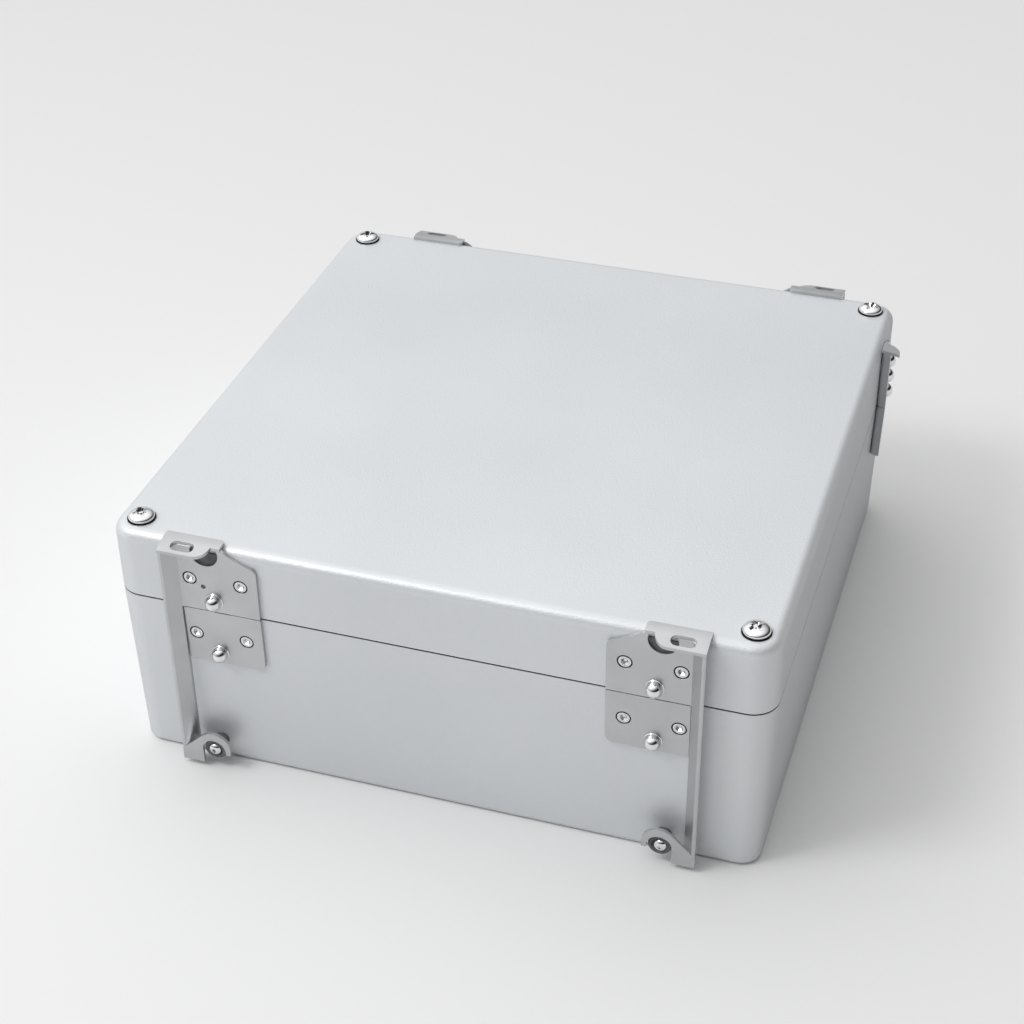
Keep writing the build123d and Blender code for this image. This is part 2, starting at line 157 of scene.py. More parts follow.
# Foot buffers and their bolts, whose heads start BOLT_SINK below the tips of the CAD bolts
FOOT_BUFFER = {
    "Head radius": 5.3 * MM,
    "Length": 8.5 * MM,
}
BUFFER_BOLT = {
    "Head radius": 3.2 * MM,
    "Head height": 2.8 * MM,
    "Socket radius": 1.2 * MM,
    "Shank radius": 1.95 * MM,
    "Shank length": 14.5 * MM,
}
BOLT_SINK = 3.3 * MM

# How far a shank reaches up into its head
SHANK_LAP = 0.1 * MM
PAN_SHANK_LAP = 0.2 * MM


# Outlines of what is turned, as shares of its radius and height, from its axis above to its axis below

def arc(centre, reach, steps, degrees=90):
    """Points on an ellipse, from straight above its centre and outwards."""
    angles = [math.radians(degrees * step / steps) for step in range(steps + 1)]
    return [(centre[0] + reach[0] * math.sin(a), centre[1] + reach[1] * math.cos(a)) for a in angles]


PAN_HEAD = arc((0, 0.24), (1, 0.76), 12) + [(1, 0.06), (0.97, 0), (0, 0)]
STUD_DOME = arc((0, 0.2), (0.92, 0.8), 12)
STUD_DOME += [(0.92, 0.1), (0.97, 0.09), (1, 0.06), (1, 0.02), (0.97, 0), (0, 0)]
BOLT_DOME = arc((0, 0.2), (1, 0.8), 10) + [(1, 0.05), (0.97, 0), (0, 0)]
RING_HEAD = [(0, 0.9), (0.54, 0.9), (0.57, 0.95), (0.6, 1), (0.7, 1), (0.76, 0.97), (0.8, 0.9)]
RING_HEAD += [(0.81, 0.78), (0.78, 0.62), (0.5, 0.02), (0.48, 0), (0, 0)]
BUFFER_OUTLINE = [(0, 0.84), (0.62, 0.84), (0.65, 0.87), (0.69, 0.98), (0.73, 1)]
BUFFER_OUTLINE += arc((0.85, 0.93), (0.15, 0.07), 5)
BUFFER_OUTLINE += [(1, 0.6), (0.98, 0.575), (0.94, 0.57), (0.64, 0.57), (0.64, 0), (0, 0)]

# The outline of a dark ring of painted shade in the gap round a ring screw's head, a closed oval beside the
# axis
SHADE_RING = arc((0.885, 0.78), (0.095, 0.18), 12, degrees=360)


# Nodes of every kind

def put(tree, kind, inputs=None, output=0, **settings):
    """A node with its settings and inputs, each a value or another node's output; returns an output."""
    node = tree.nodes.new(kind)
    for name, value in settings.items():
        setattr(node, name, value)
    for name, value in (inputs or {}).items():
        if isinstance(value, bpy.types.NodeSocket):
            tree.links.new(value, node.inputs[name])
        else:
            node.inputs[name].default_value = value
    return node.outputs[output]


def maths(tree, operation, first, second=0.0):
    """A sum, product or the like of one or two values."""
    return put(tree, "ShaderNodeMath", {0: first, 1: second}, operation=operation)


# Materials

def new_material(name, colour, metallic, roughness):
    """A Principled material; returns it with its node tree and its shader node."""
    material = bpy.data.materials.new(name)
    material.use_nodes = True
    tree = material.node_tree
    shader = tree.nodes["Principled BSDF"]
    shader.inputs["Base Color"].default_value = (*colour, 1)
    shader.inputs["Metallic"].default_value = metallic
    shader.inputs["Roughness"].default_value = roughness
    return material, tree, shader


def object_mapping(tree, stretch=(1, 1, 1)):
    """Object coordinates, stretched."""
    place = put(tree, "ShaderNodeTexCoord", output="Object")
    return put(tree, "ShaderNodeMapping", {"Vector": place, "Scale": stretch})


def noise(tree, vector, scale, detail):
    """A noise texture's value."""
    return put(tree, "ShaderNodeTexNoise", {"Vector": vector, "Scale": scale, "Detail": detail})


def spread(tree, value, low, high):
    """A noise value mapped to a range."""
    ranges = {"From Min": NOISE_LOW, "From Max": NOISE_HIGH, "To Min": low, "To Max": high}
    return put(tree, "ShaderNodeMapRange", {"Value": value, **ranges})


def vary_colour(tree, shader, value, dark, light):
    """A base colour that wanders between two tones with a noise value."""
    mix = {"Factor": spread(tree, value, 0, 1), "A": (*dark, 1), "B": (*light, 1)}
    tone = put(tree, "ShaderNodeMix", mix, output="Result", data_type="RGBA")
    tree.links.new(tone, shader.inputs["Base Color"])


def vary_roughness(tree, shader, value, low, high):
    """A roughness that wanders between two values with a noise value."""
    tree.links.new(spread(tree, value, low, high), shader.inputs["Roughness"])


def add_bump(tree, shader, height, depth, strength):
    """Bump from a height value, with its depth in metres."""
    bump = {"Strength": strength, "Distance": depth, "Height": height}
    tree.links.new(put(tree, "ShaderNodeBump", bump), shader.inputs["Normal"])


def satin_silver_coat():
    """Fine textured silver coat of the case."""
    material, tree, shader = new_material(
        "satin_silver_coat", colour=(0.72, 0.74, 0.76), metallic=0.35, roughness=0.42)
    shader.inputs["Specular IOR Level"].default_value = 0.2
    shader.inputs["Specular Tint"].default_value = (0.3, 0.3, 0.3, 1)
    where = object_mapping(tree)
    cloud = noise(tree, where, scale=9.0, detail=2.0)
    grain = noise(tree, where, scale=1500.0, detail=1.0)
    vary_colour(tree, shader, cloud, dark=(0.72, 0.74, 0.765), light=(0.76, 0.78, 0.80))
    vary_roughness(tree, shader, grain, low=0.34, high=0.5)
    add_bump(tree, shader, grain, depth=0.2 * MM, strength=0.6)
    return material


def strap_sheet_steel():
    """Satin steel sheet with fine rolling lines."""
    material, tree, shader = new_material(
        "strap_sheet_steel", colour=(0.5, 0.51, 0.53), metallic=0.9, roughness=0.38)
    lines = noise(tree, object_mapping(tree, stretch=(1, 1, 0.06)), scale=1800.0, detail=2.0)
    cloud = noise(tree, object_mapping(tree), scale=45.0, detail=3.0)
    vary_colour(tree, shader, cloud, dark=(0.5, 0.51, 0.525), light=(0.56, 0.57, 0.58))
    vary_roughness(tree, shader, lines, low=0.35, high=0.4)
    add_bump(tree, shader, lines, depth=0.01 * MM, strength=0.02)
    return material


def polished_chrome():
    """Polished heads, with faint wear."""
    material, tree, shader = new_material(
        "polished_chrome", colour=(0.82, 0.82, 0.83), metallic=1.0, roughness=0.08)
    wear = noise(tree, object_mapping(tree), scale=420.0, detail=4.0)
    vary_roughness(tree, shader, wear, low=0.05, high=0.14)
    vary_colour(tree, shader, wear, dark=(0.74, 0.74, 0.75), light=(0.86, 0.86, 0.87))
    return material


def zinc_plate():
    """Zinc plated fasteners."""
    material, tree, shader = new_material(
        "zinc_plate", colour=(0.66, 0.67, 0.69), metallic=1.0, roughness=0.3)
    cloud = noise(tree, object_mapping(tree), scale=300.0, detail=4.0)
    vary_roughness(tree, shader, cloud, low=0.16, high=0.34)
    vary_colour(tree, shader, cloud, dark=(0.66, 0.68, 0.7), light=(0.8, 0.81, 0.82))
    return material


def turned_aluminium():
    """Machined aluminium of the posts, tubes and bosses."""
    material, tree, shader = new_material(
        "turned_aluminium", colour=(0.72, 0.73, 0.74), metallic=1.0, roughness=0.35)
    lines = noise(tree, object_mapping(tree, stretch=(0.1, 0.1, 1)), scale=2600.0, detail=2.0)
    vary_roughness(tree, shader, lines, low=0.28, high=0.45)
    vary_colour(tree, shader, lines, dark=(0.66, 0.67, 0.68), light=(0.76, 0.77, 0.78))
    add_bump(tree, shader, lines, depth=0.02 * MM, strength=0.4)
    return material


def black_rubber():
    """Matt rubber of the gasket and the corner washers, and of the rings of painted shade round the ring
    screws.
    """
    material, tree, shader = new_material(
        "black_rubber", colour=(0.012, 0.012, 0.013), metallic=0.0, roughness=0.6)
    shader.inputs["Specular IOR Level"].default_value = 0.05
    grain = noise(tree, object_mapping(tree), scale=900.0, detail=3.0)
    vary_colour(tree, shader, grain, dark=(0.008, 0.008, 0.009), light=(0.018, 0.018, 0.019))
    vary_roughness(tree, shader, grain, low=0.5, high=0.72)
    add_bump(tree, shader, grain, depth=0.04 * MM, strength=0.4)
    return material


def grey_rubber_and_shade():
    """Dusty dark grey rubber of the foot buffers; the eye pads take it as painted shade."""
    material, tree, shader = new_material(
        "grey_rubber_and_shade", colour=(0.12, 0.12, 0.125), metallic=0.0, roughness=0.5)
    shader.inputs["Specular IOR Level"].default_value = 0.3
    cloud = noise(tree, object_mapping(tree), scale=260.0, detail=4.0)
    vary_colour(tree, shader, cloud, dark=(0.1, 0.105, 0.11), light=(0.17, 0.175, 0.18))
    vary_roughness(tree, shader, cloud, low=0.4, high=0.6)
    return material


FINISHES = {
    "case_metal": satin_silver_coat(),
    "strap_steel": strap_sheet_steel(),
    "bright_fastener": polished_chrome(),
    "zinc_fastener": zinc_plate(),
    "machined_aluminium": turned_aluminium(),
    "black_rubber": black_rubber(),
}
# Grey rubber of the buffers, and the colour of the eye pads, which is painted shade
BUFFER_RUBBER_AND_SHADE = grey_rubber_and_shade()
SLOT_OF = {subpart["node"]: subpart["material_slot"] for subpart in frame["record"]["subparts"]}
BODY_OF = {node: body for body, nodes in frame["record"]["behaviour"]["bodies"].items() for node in nodes}


# Pieces

def new_object(name, data):
    """An object in the scene."""
    made = bpy.data.objects.new(name, data)
    bpy.context.scene.collection.objects.link(made)
    return made


def dress_cad_nodes():
    """Gives every CAD node the material of its slot."""
    for name, slot in SLOT_OF.items():
        for holder in frame["nodes"][name].material_slots:
            holder.material = FINISHES[slot]


def add_piece(name, mesh, body, slot, finish=None):
    """A piece on a body, with its slot's finish unless one is given."""
    piece = new_object(name, mesh)
    mesh.materials.clear()
    mesh.materials.append(finish or FINISHES[slot])
    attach(piece, body)
    return piece


def place_piece(name, mesh, node, finish=None):
    """A piece that stands for a CAD node, which it hides: same body, and the finish of the node's slot
    unless one is given.
    """
    piece = add_piece(name, mesh, BODY_OF[node], SLOT_OF[node], finish)
    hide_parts(node)
    return piece


def merged_copy(node):
    """The CAD node's loose triangles as one joined mesh, its flat faces whole."""
    work = bmesh.new()
    work.from_mesh(frame["nodes"][node].data)
    bmesh.ops.remove_doubles(work, verts=work.verts, dist=MERGE_GAP)
    bmesh.ops.dissolve_limit(work, angle_limit=FLAT_ANGLE, verts=work.verts, edges=work.edges)
    return work


def smooth_up_to_edges(mesh):
    """Smooth shading that stops at the sharp edges."""
    mesh.shade_smooth()
    mesh.set_sharp_from_angle(angle=SHARP_ANGLE)


def soften_edges(piece):
    """A small live bevel on the sharp edges, as where a burr was taken off."""
    edge = piece.modifiers.new("softened_edges", "BEVEL")
    edge.width = EDGE_SOFTNESS
    edge.segments = EDGE_STEPS
    edge.limit_method = "ANGLE"
    edge.angle_limit = SHARP_ANGLE
    edge.harden_normals = True


# Straps, leaves and the eye pads of painted shade

def softened_sheet(node):
    """A strap or leaf, its mesh taken from the CAD node, with softened edges."""
    work = merged_copy(node)
    work.verts.index_update()
    corners = [vert.co.copy() for vert in work.verts]
    faces = [[vert.index for vert in face.verts] for face in work.faces]
    work.free()
    mesh = bpy.data.meshes.new(node + "_sheet")
    mesh.from_pydata(corners, [], faces)
    smooth_up_to_edges(mesh)
    soften_edges(place_piece(node + "_sheet", mesh, node))


def make_sheets():
    """The sheets of all the straps and lower leaves."""
    for node, slot in SLOT_OF.items():
        if slot == "strap_steel":
            softened_sheet(node)


def add_half_moon(work, x, y, z, depth):
    """A half-moon prism, its flat side up and the middle of that side's outer edge at x, y, z."""
    angles = [math.pi * (1 + step / SHADE_PAD_STEPS) for step in range(SHADE_PAD_STEPS + 1)]
    rim = [(x + SHADE_PAD_RADIUS * math.cos(a), z + SHADE_PAD_RADIUS * math.sin(a)) for a in angles]
    front = [work.verts.new((across, y, up)) for across, up in rim]
    back = [work.verts.new((across, y + depth, up)) for across, up in rim]
    work.faces.new(front)
    work.faces.new(back[::-1])
    for step in range(len(rim)):
        work.faces.new((front[step], front[step - 1], back[step - 1], back[step]))


def make_eye_shade_pads():
    """Painted shade: dark half-moon pads on the lid, seen through the eyes of the long straps, in place of
    the shade of those hollows.
    """
    lid_low, lid_high = (Vector(corner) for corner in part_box("lid"))
    top = lid_high.z - SHADE_PAD_DROP
    work = bmesh.new()
    for strap in LONG_STRAPS:
        low, high = (Vector(corner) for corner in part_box(strap))
        x = high.x - SHADE_PAD_FROM_TIP if low.x > 0 else low.x + SHADE_PAD_FROM_TIP
        if low.y > 0:
            add_half_moon(work, x, lid_high.y + SHADE_PAD_PROUD, top, -SHADE_PAD_DEPTH)
        else:
            add_half_moon(work, x, lid_low.y - SHADE_PAD_PROUD, top, SHADE_PAD_DEPTH)
    bmesh.ops.recalc_face_normals(work, faces=work.faces)
    mesh = bpy.data.meshes.new("eye_shade_pads")
    work.to_mesh(mesh)
    work.free()
    smooth_up_to_edges(mesh)
    soften_edges(add_piece("eye_shade_pads", mesh, "lid", "black_rubber", BUFFER_RUBBER_AND_SHADE))


# Geometry Nodes

def new_tree(name, sizes):
    """A Geometry Nodes tree with a named input for each size; returns it with those inputs."""
    tree = bpy.data.node_groups.new(name, "GeometryNodeTree")
    tree.interface.new_socket("Geometry", in_out="INPUT", socket_type="NodeSocketGeometry")
    for size in sizes:
        tree.interface.new_socket(size, in_out="INPUT", socket_type="NodeSocketFloat")
    tree.interface.new_socket("Geometry", in_out="OUTPUT", socket_type="NodeSocketGeometry")
    return tree, tree.nodes.new("NodeGroupInput").outputs


def shaped(tree, value, heights):
    """A value from 0 to 1 looked up along evenly spaced heights."""
    node = tree.nodes.new("ShaderNodeFloatCurve")
    node.mapping.use_clip = False
    curve = node.mapping.curves[0]
    last = len(heights) - 1
    for _ in range(last - 1):
        curve.points.new(0.5, 0.5)
    for index, height in enumerate(heights):
        curve.points[index].location = (index / last, height)
        curve.points[index].handle_type = "VECTOR"
    node.mapping.update()
    tree.links.new(value, node.inputs["Value"])
    return node.outputs["Value"]


def turned(tree, outline, radius, height, around=48):
    """A turned solid on the axis Z: a grid wrapped round it along an outline."""
    grid = put(tree, "GeometryNodeMeshGrid", {
        "Size X": 1.0, "Size Y": 1.0, "Vertices X": around + 1, "Vertices Y": len(outline)})
    place = tree.nodes.new("ShaderNodeSeparateXYZ")
    tree.links.new(put(tree, "GeometryNodeInputPosition"), place.inputs[0])
    angle = maths(tree, "MULTIPLY", maths(tree, "ADD", place.outputs["X"], 0.5), math.tau)
    along = maths(tree, "ADD", place.outputs["Y"], 0.5)
    out = maths(tree, "MULTIPLY", shaped(tree, along, [point[0] for point in outline]), radius)
    up = maths(tree, "MULTIPLY", shaped(tree, along, [point[1] for point in outline]), height)
    x = maths(tree, "MULTIPLY", out, maths(tree, "COSINE", angle))
    y = maths(tree, "MULTIPLY", out, maths(tree, "SINE", angle))
    where = put(tree, "ShaderNodeCombineXYZ", {"X": x, "Y": y, "Z": up})
    bent = put(tree, "GeometryNodeSetPosition", {"Geometry": grid, "Position": where})
    closed = put(tree, "GeometryNodeMergeByDistance", {"Geometry": bent, "Distance": MERGE_GAP})
    return put(tree, "GeometryNodeFlipFaces", {"Mesh": closed})


def up_by(tree, height):
    """The offset straight up by a height."""
    return put(tree, "ShaderNodeCombineXYZ", {"Z": height})


def moved(tree, geometry, offset=(0, 0, 0), turn=(0, 0, 0)):
    """Geometry turned, then moved."""
    return put(tree, "GeometryNodeTransform", {
        "Geometry": geometry, "Translation": offset, "Rotation": turn})


def joined(tree, *parts):
    """Several parts as one geometry."""
    node = tree.nodes.new("GeometryNodeJoinGeometry")
    for part in parts:
        tree.links.new(part, node.inputs[0])
    return node.outputs[0]


def cut(tree, solid, cutter):
    """A solid with a cutter's shape taken out."""
    return put(tree, "GeometryNodeMeshBoolean", {"Mesh 1": solid, "Mesh 2": cutter}, operation="DIFFERENCE")


def shank(tree, size, lap=SHANK_LAP, sides=32):
    """A round shank that hangs down from just inside its head."""
    rod = put(tree, "GeometryNodeMeshCylinder", {
        "Vertices": sides, "Radius": size["Shank radius"], "Depth": size["Shank length"]})
    half = maths(tree, "MULTIPLY", size["Shank length"], 0.5)
    return moved(tree, rod, up_by(tree, maths(tree, "SUBTRACT", lap, half)))


def screw_thread(tree, size):
    """A three-sided ridge wound round the lower end of a shank."""
    spiral = put(tree, "GeometryNodeCurveSpiral", {
        "Resolution": THREAD_STEPS, "Rotations": THREAD_TURNS, "Height": THREAD_LENGTH,
        "Start Radius": size["Shank radius"], "End Radius": size["Shank radius"]})
    ridge = put(tree, "GeometryNodeCurvePrimitiveCircle", {"Resolution": TRIANGLE, "Radius": THREAD_RIDGE})
    thread = put(tree, "GeometryNodeCurveToMesh", {
        "Curve": spiral, "Profile Curve": ridge, "Fill Caps": True})
    return moved(tree, thread, up_by(tree, maths(tree, "SUBTRACT", THREAD_END, size["Shank length"])))


def random_angle(tree, seed):
    """A random angle for each point."""
    node = tree.nodes.new("FunctionNodeRandomValue")
    node.data_type = "FLOAT"
    floats = [socket for socket in node.inputs if socket.type == "VALUE"]
    floats[0].default_value = 0.0
    floats[1].default_value = math.tau
    node.inputs["Seed"].default_value = seed
    return next(socket for socket in node.outputs if socket.type == "VALUE")


def finish_tree(tree, points, solid, material, seed):
    """Sets the solid on every point, its axis along the point's way, turned at random about it."""
    way = put(tree, "GeometryNodeInputNamedAttribute", {"Name": "way"}, data_type="FLOAT_VECTOR")
    facing = put(tree, "FunctionNodeAlignRotationToVector", {"Vector": way}, axis="Z")
    angle = random_angle(tree, seed)
    spin = put(tree, "FunctionNodeAxisAngleToRotation", {"Axis": (0, 0, 1), "Angle": angle})
    turn = put(tree, "FunctionNodeRotateRotation", {
        "Rotation": facing, "Rotate By": spin}, rotation_space="LOCAL")
    copies = put(tree, "GeometryNodeInstanceOnPoints", {
        "Points": points, "Instance": solid, "Rotation": turn})
    real = put(tree, "GeometryNodeRealizeInstances", {"Geometry": copies})
    dressed = put(tree, "GeometryNodeSetMaterial", {"Geometry": real, "Material": material})
    tree.links.new(dressed, tree.nodes.new("NodeGroupOutput").inputs[0])


def pan_head_tree(sizes, material):
    """Pan head screw: a domed head with a cross recess, a shank and its thread."""
    tree, size = new_tree("pan_head_screw", sizes)
    head = turned(tree, PAN_HEAD, size["Head radius"], size["Head height"])
    arm_size = put(tree, "ShaderNodeCombineXYZ", {
        "X": size["Recess reach"], "Y": size["Recess width"], "Z": size["Recess depth"]})
    arm = put(tree, "GeometryNodeMeshCube", {"Size": arm_size})
    across = moved(tree, arm, (0, 0, ARM_STEP), (0, 0, math.pi / 2))
    core = put(tree, "GeometryNodeMeshCone", {
        "Vertices": SQUARE, "Radius Top": CORE_TOP, "Radius Bottom": CORE_FOOT, "Depth": CORE_DEPTH})
    core = moved(tree, core, (0, 0, -CORE_DEPTH), (0, 0, math.pi / 4))
    top = up_by(tree, size["Head height"])
    for cutter in (arm, across, core):
        head = cut(tree, head, moved(tree, cutter, top))
    solid = joined(tree, head, shank(tree, size, PAN_SHANK_LAP), screw_thread(tree, size))
    finish_tree(tree, size["Geometry"], solid, material, seed=11)
    return tree


def ring_screw_tree(sizes, material):
    """Countersunk screw: a bright ring round a hexagon socket, its edge clear of the sheet."""
    tree, size = new_tree("ring_screw", sizes)
    head = turned(tree, RING_HEAD, size["Head radius"], size["Head height"])
    foot = maths(tree, "MULTIPLY", size["Socket radius"], SOCKET_TAPER)
    socket = put(tree, "GeometryNodeMeshCone", {
        "Vertices": HEXAGON, "Radius Top": size["Socket radius"], "Radius Bottom": foot,
        "Depth": size["Head height"]})
    floor = up_by(tree, maths(tree, "MULTIPLY", size["Head height"], SOCKET_FLOOR))
    head = cut(tree, head, moved(tree, socket, floor))
    finish_tree(tree, size["Geometry"], joined(tree, head, shank(tree, size)), material, seed=5)
    return tree


def shade_ring_tree(sizes, material):
    """Dark rubber ring in the countersink round a ring screw's head: painted shade that gives the head a
    dark outline.
    """
    tree, size = new_tree("shade_ring", sizes)
    solid = turned(tree, SHADE_RING, size["Head radius"], size["Head height"])
    finish_tree(tree, size["Geometry"], solid, material, seed=6)
    return tree


def domed_stud_tree(sizes, material):
    """Polished stud: a tall dome on a round collar."""
    tree, size = new_tree("domed_stud", sizes)
    head = turned(tree, STUD_DOME, size["Head radius"], size["Head height"])
    finish_tree(tree, size["Geometry"], joined(tree, head, shank(tree, size)), material, seed=3)
    return tree


def buffer_bolt_tree(sizes, material):
    """Domed bolt with a hexagon socket, in a buffer."""
    tree, size = new_tree("buffer_bolt", sizes)
    head = turned(tree, BOLT_DOME, size["Head radius"], size["Head height"])
    socket = put(tree, "GeometryNodeMeshCylinder", {
        "Vertices": HEXAGON, "Radius": size["Socket radius"], "Depth": size["Head height"]})
    head = cut(tree, head, moved(tree, socket, up_by(tree, size["Head height"])))
    finish_tree(tree, size["Geometry"], joined(tree, head, shank(tree, size)), material, seed=8)
    return tree


def foot_buffer_tree(sizes, material):
    """Rubber buffer: a thick head with a rounded rim round a hollow for the bolt, on a neck."""
    tree, size = new_tree("foot_buffer", sizes)
    solid = turned(tree, BUFFER_OUTLINE, size["Head radius"], size["Length"])
    finish_tree(tree, size["Geometry"], solid, material, seed=2)
    return tree


# Fasteners

def loose_solids(node):
    """The vertices of each separate solid in a CAD node, always in the order of its mesh."""
    work = merged_copy(node)
    found = set()
    solids = []
    for first in work.verts:
        if first in found:
            continue
        found.add(first)
        group = [first]
        for vert in group:
            for edge in vert.link_edges:
                other = edge.other_vert(vert)
                if other not in found:
                    found.add(other)
                    group.append(other)
        solids.append([vert.co.copy() for vert in group])
    work.free()
    return solids


def outward(centre, lean):
    """The way out of the wall that is nearest to a point, leaning down with the base's walls."""
    if abs(centre.x) > abs(centre.y):
        level = Vector((math.copysign(1, centre.x), 0, 0))
    else:
        level = Vector((0, math.copysign(1, centre.y), 0))
    return (level * math.cos(lean) - Vector((0, 0, math.sin(lean)))).normalized()


def head_tips(node, upright=False):
    """Each fastener's axis at its outer end, and its way out, read from the CAD node."""
    tips = []
    lean = BASE_LEAN if BODY_OF[node] == "base" else 0
    for verts in loose_solids(node):
        centre = sum(verts, Vector()) / len(verts)
        way = Vector((0, 0, 1)) if upright else outward(centre, lean)
        reach = max(vert.dot(way) for vert in verts)
        end = [vert for vert in verts if vert.dot(way) > reach - TIP_REACH]
        low = Vector(min(vert[axis] for vert in end) for axis in range(3))
        high = Vector(max(vert[axis] for vert in end) for axis in range(3))
        tips.append(((low + high) / 2, way))
    return tips


def evaluated(holder, tree, sizes):
    """The plain mesh that a tree makes from a holder, which is then removed."""
    modifier = holder.modifiers.new(tree.name, "NODES")
    modifier.node_group = tree
    for socket in tree.interface.items_tree:
        if socket.in_out == "INPUT" and socket.name in sizes:
            modifier[socket.identifier] = sizes[socket.name]
    graph = bpy.context.evaluated_depsgraph_get()
    graph.update()
    mesh = bpy.data.meshes.new_from_object(holder.evaluated_get(graph))
    bpy.data.objects.remove(holder)
    return mesh


def fastener_mesh(name, node, make_tree, sizes, depth, finish, upright=False):
    """One fastener's solid in the places of a CAD node's, seated by a depth below their tips."""
    tips = head_tips(node, upright)
    mesh = bpy.data.meshes.new(name)
    mesh.from_pydata([tip - way * depth for tip, way in tips], [], [])
    ways = mesh.attributes.new("way", "FLOAT_VECTOR", "POINT")
    for index, (tip, way) in enumerate(tips):
        ways.data[index].vector = way
    holder = new_object(name + "_places", mesh)
    solid = evaluated(holder, make_tree(sizes, finish), sizes)
    smooth_up_to_edges(solid)
    return solid


def fasteners(name, node, make_tree, sizes, depth, finish=None, upright=False):
    """A piece of copies of one fastener, which stands for a CAD node."""
    dressing = finish or FINISHES[SLOT_OF[node]]
    solid = fastener_mesh(name, node, make_tree, sizes, depth, dressing, upright)
    place_piece(name, solid, node, finish)


def shade_rings(name, node):
    """The rings of painted shade round a CAD node's countersunk screws."""
    depth = RING_SCREW["Head height"]
    rings = fastener_mesh(name, node, shade_ring_tree, RING_SCREW, depth, FINISHES["black_rubber"])
    add_piece(name, rings, BODY_OF[node], "black_rubber")


def make_fasteners():
    """Every screw, stud, bolt and buffer, and the rings of painted shade round the ring screws."""
    pan_depth = PAN_SCREW["Head height"]
    fasteners("pan_head_screws", "corner_screws", pan_head_tree, PAN_SCREW, pan_depth, upright=True)
    ring_depth = RING_SCREW["Head height"]
    fasteners("strap_ring_screws", "strap_screws", ring_screw_tree, RING_SCREW, ring_depth)
    fasteners("leaf_ring_screws", "lower_leaf_screws", ring_screw_tree, RING_SCREW, ring_depth)
    # Dark rubber rings of painted shade, for the gaps round the ring screws' heads
    shade_rings("strap_shade_rings", "strap_screws")
    shade_rings("leaf_shade_rings", "lower_leaf_screws")
    stud_depth = DOMED_STUD["Head height"]
    fasteners("strap_domed_studs", "strap_studs", domed_stud_tree, DOMED_STUD, stud_depth)
    fasteners("leaf_domed_studs", "lower_leaf_studs", domed_stud_tree, DOMED_STUD, stud_depth)
    fasteners("buffer_bolts", "foot_bolts", buffer_bolt_tree, BUFFER_BOLT, BOLT_SINK)
    length = FOOT_BUFFER["Length"]
    fasteners("rubber_buffers", "foot_buffers", foot_buffer_tree, FOOT_BUFFER, length, BUFFER_RUBBER_AND_SHADE)


# Seam gasket

def rounded_plan(tree, width, height, radius, steps):
    """A rectangle with rounded corners, as a curve."""
    plan = put(tree, "GeometryNodeCurvePrimitiveQuadrilateral", {"Width": width, "Height": height})
    return put(tree, "GeometryNodeFilletCurve", {
        "Curve": plan, "Radius": radius, "Count": steps}, mode="POLY")


def gasket_tree(sizes, material):
    """A flat ring with rounded edges, swept round the case's plan."""
    tree, size = new_tree("seam_gasket", sizes)
    plan = rounded_plan(tree, size["Width"], size["Depth"], size["Corner"], CASE_CORNER_STEPS)
    lip = rounded_plan(tree, size["Breadth"], size["Thickness"], GASKET_ROUNDING, GASKET_ROUNDING_STEPS)
    ring = put(tree, "GeometryNodeCurveToMesh", {"Curve": plan, "Profile Curve": lip})
    dressed = put(tree, "GeometryNodeSetMaterial", {"Geometry": ring, "Material": material})
    tree.links.new(dressed, tree.nodes.new("NodeGroupOutput").inputs[0])
    return tree


def make_gasket():
    """The gasket, its edge just inside the case's faces so that the seam is dark."""
    low, high = (Vector(corner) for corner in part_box("lid_gasket"))
    lid_low, lid_high = (Vector(corner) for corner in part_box("lid"))
    inset = 2 * GASKET_SETBACK + GASKET_BREADTH
    sizes = {
        "Width": lid_high.x - lid_low.x - inset,
        "Depth": lid_high.y - lid_low.y - inset,
        "Corner": CASE_CORNER - inset / 2,
        "Breadth": GASKET_BREADTH,
        "Thickness": high.z - low.z,
    }
    holder = new_object("gasket_place", bpy.data.meshes.new("gasket_place"))
    mesh = evaluated(holder, gasket_tree(sizes, FINISHES["black_rubber"]), sizes)
    mesh.transform(Matrix.Translation((0, 0, (low.z + high.z) / 2)))
    mesh.shade_smooth()
    place_piece("seam_gasket", mesh, "lid_gasket")


# Studio

def make_floor():
    """A wide sheet of pale paper."""
    mesh = bpy.data.meshes.new("floor")
    half = FLOOR_SIZE / 2
    corners = [(-half, -half, 0), (half, -half, 0), (half, half, 0), (-half, half, 0)]
    mesh.from_pydata(corners, [], [(0, 1, 2, 3)])
    floor = new_object("floor", mesh)
    material, _, shader = new_material("floor_paper", FLOOR_COLOUR, metallic=0.0, roughness=0.9)
    shader.inputs["Specular IOR Level"].default_value = 0.1
    mesh.materials.append(material)


def faded(tree, value, fade, start, end):
    """A value that goes smoothly from a start to an end while another crosses a range."""
    ranges = {"From Min": fade[0], "From Max": fade[1], "To Min": start, "To Max": end}
    return put(tree, "ShaderNodeMapRange", {"Value": value, **ranges}, interpolation_type="SMOOTHSTEP")


def share_of_paper(tree, way):
    """1 for what the camera sees itself, and for mirrored and clear rays that run low."""
    height = put(tree, "ShaderNodeSeparateXYZ", {0: way}, output="Z")
    path = tree.nodes.new("ShaderNodeLightPath").outputs
    mirrored = maths(tree, "MAXIMUM", path["Is Glossy Ray"], path["Is Transmission Ray"])
    mirrored = maths(tree, "MULTIPLY", mirrored, faded(tree, height, PAPER_FADE, 1, 0))
    return maths(tree, "MAXIMUM", path["Is Camera Ray"], mirrored)


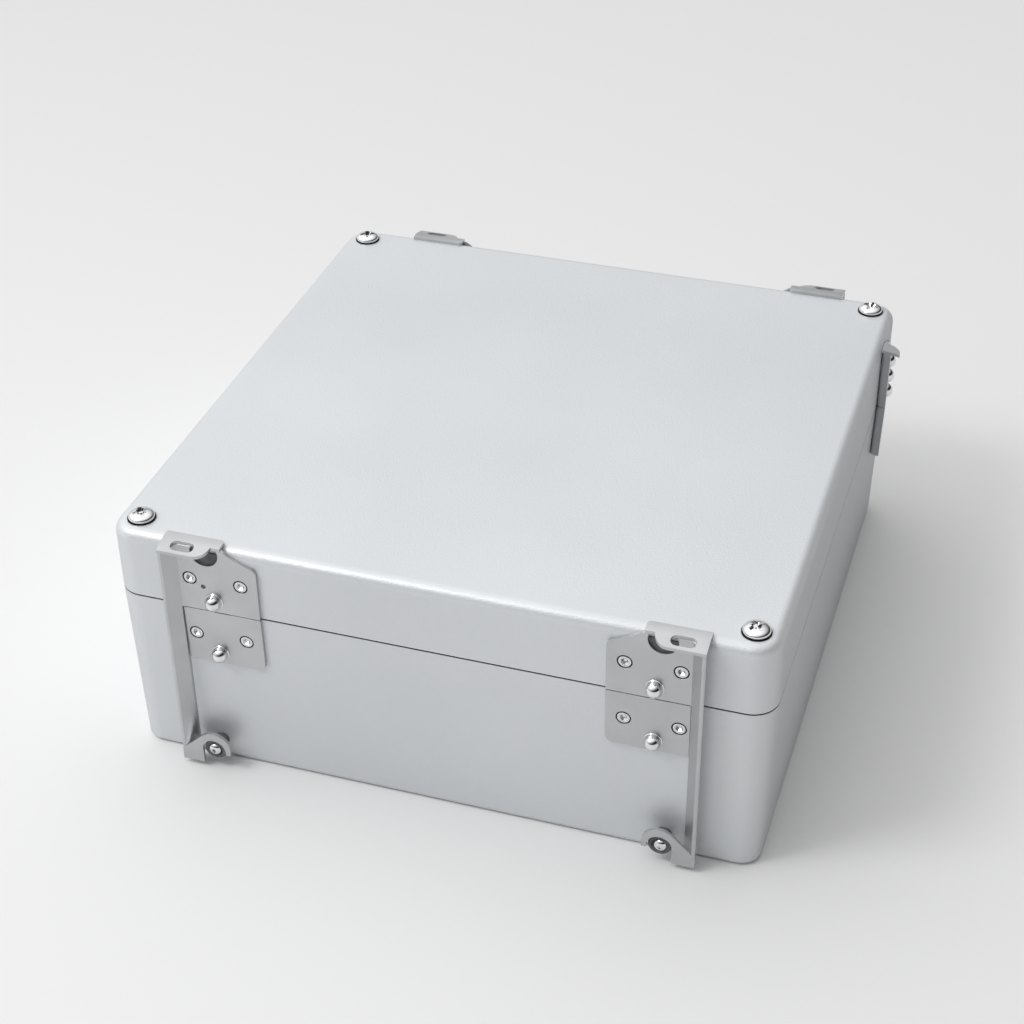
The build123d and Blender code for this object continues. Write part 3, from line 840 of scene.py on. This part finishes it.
def make_world():
    """A soft light from above and the left that fades towards the low front and right. The camera
    sees plain paper all round, and metal sees that paper low down and the light above it."""
    world = bpy.data.worlds.new("studio")
    world.use_nodes = True
    tree = world.node_tree
    way = put(tree, "ShaderNodeTexCoord", output="Generated")
    bright_way = Vector(SKY_TOWARDS).normalized()
    facing = put(tree, "ShaderNodeVectorMath", {
        0: way, 1: bright_way}, output="Value", operation="DOT_PRODUCT")
    light = tree.nodes["Background"]
    light.inputs["Color"].default_value = (*SKY_COLOUR, 1)
    tree.links.new(faded(tree, facing, SKY_FADE, SKY_DARK, SKY_BRIGHT), light.inputs["Strength"])
    paper = put(tree, "ShaderNodeBackground", {"Color": (*PAPER_COLOUR, 1)})
    seen = put(tree, "ShaderNodeMixShader", {
        "Fac": share_of_paper(tree, way), 1: light.outputs["Background"], 2: paper})
    tree.links.new(seen, tree.nodes["World Output"].inputs["Surface"])
    bpy.context.scene.world = world


def make_key_softbox():
    """The lamp on the left, turned towards the case."""
    data = bpy.data.lights.new("key_softbox", "AREA")
    data.shape = "SQUARE"
    data.size = KEY_SIZE
    data.energy = KEY_POWER
    lamp = new_object("key_softbox", data)
    lamp.location = KEY_PLACE
    way = Vector(KEY_TARGET) - Vector(KEY_PLACE)
    lamp.rotation_euler = way.to_track_quat("-Z", "Y").to_euler()


def make_camera():
    """The camera at the photograph's viewing angle."""
    data = bpy.data.cameras.new("camera")
    data.lens = CAMERA_LENS
    data.sensor_width = CAMERA_SENSOR
    data.sensor_fit = "HORIZONTAL"
    data.clip_end = CAMERA_REACH
    camera = new_object("camera", data)
    azimuth, elevation, roll = (math.radians(a) for a in (CAMERA_AZIMUTH, CAMERA_ELEVATION, CAMERA_ROLL))
    level = math.cos(elevation)
    back = Vector((math.sin(azimuth) * level, -math.cos(azimuth) * level, math.sin(elevation)))
    right = Vector((math.cos(azimuth), math.sin(azimuth), 0))
    up = back.cross(right)
    turned_right = right * math.cos(roll) + up * math.sin(roll)
    turned_up = up * math.cos(roll) - right * math.sin(roll)
    turn = Matrix((turned_right, turned_up, back)).transposed().to_4x4()
    camera.matrix_world = Matrix.Translation(CAMERA_PLACE) @ turn
    bpy.context.scene.camera = camera


dress_cad_nodes()
make_sheets()
make_eye_shade_pads()
make_gasket()
make_fasteners()
make_floor()
make_world()
make_key_softbox()
make_camera()
bpy.context.scene.view_settings.view_transform = "Standard"
